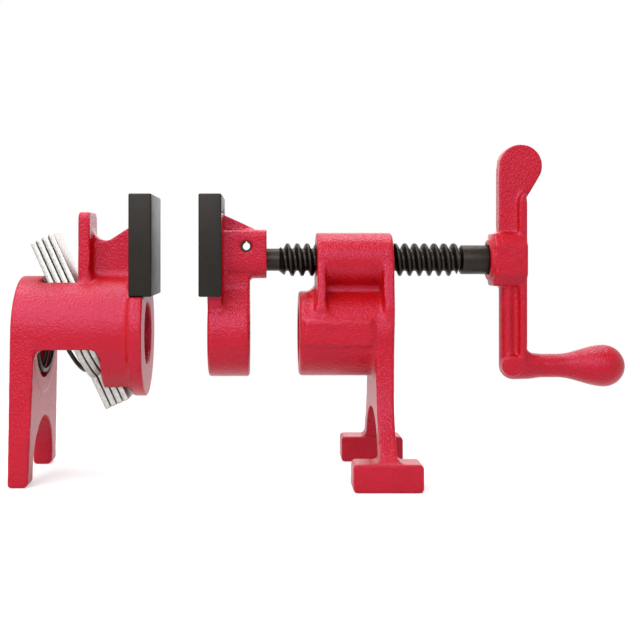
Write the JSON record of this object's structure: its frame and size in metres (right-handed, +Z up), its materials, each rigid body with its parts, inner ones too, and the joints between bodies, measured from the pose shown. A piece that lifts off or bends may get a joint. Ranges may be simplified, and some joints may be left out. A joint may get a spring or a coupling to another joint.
{
  "type": "pipe clamp fixture set",
  "caption": "Cast pipe clamp fixtures: a head stock with screw, crank and moving padded jaw, and a sliding tail stock with clutch plates and padded jaw.",
  "frame": {"origin": "on the pipe axis at the mouth of the head stock's threaded pipe socket", "axes": "+X along the pipe from the tail stock towards the crank, +Z up from the feet to the jaws"},
  "size_m": [0.2605, 0.075, 0.1425],
  "materials": {
    "red_powder_coat": "glossy powder coat with orange peel on cast iron",
    "black_plastic": "satin moulded plastic",
    "black_oxide_steel": "black oxide, oiled",
    "zinc_steel": "bright zinc plated, sheared edges"
  },
  "bodies": {
    "head": {"head_casting": "red_powder_coat"},
    "jaw": {"moving_jaw": "red_powder_coat", "moving_jaw_pad": "black_plastic", "spindle_retaining_pin": "black_oxide_steel"},
    "screw": {"spindle": "black_oxide_steel", "crank_handle": "red_powder_coat"},
    "tail": {"tail_casting": "red_powder_coat", "tail_jaw_pad": "black_plastic", "clutch_spring": "black_oxide_steel"},
    "clutch": {"clutch_plate_1": "zinc_steel", "clutch_plate_2": "zinc_steel", "clutch_plate_3": "zinc_steel", "clutch_plate_4": "zinc_steel"}
  },
  "joints": [
    {"name": "jaw_slide", "type": "slide", "parent": "head", "child": "jaw", "axis": [1, 0, 0], "range_m": [-0.0191, 0.0191]},
    {"name": "spindle_turn", "type": "hinge", "parent": "jaw", "child": "screw", "pos_m": [0.04, 0, 0.0318], "axis": [1, 0, 0], "range_deg": [-1620, 1620]},
    {"name": "tail_slide", "type": "slide", "parent": "head", "child": "tail", "axis": [1, 0, 0], "range_m": [-0.25, 0]},
    {"name": "clutch_release", "type": "hinge", "parent": "tail", "child": "clutch", "pos_m": [-0.0943, 0, 0.021], "axis": [0, 1, 0], "range_deg": [0, 24.4], "stiffness_Nm_per_rad": 0.6, "springref_deg": -17.19, "deforming": ["clutch_spring"]}
  ],
  "couplings": [
    {"joint": "jaw_slide", "follows": "spindle_turn", "m_per_rad": 0.00067376}
  ]
}
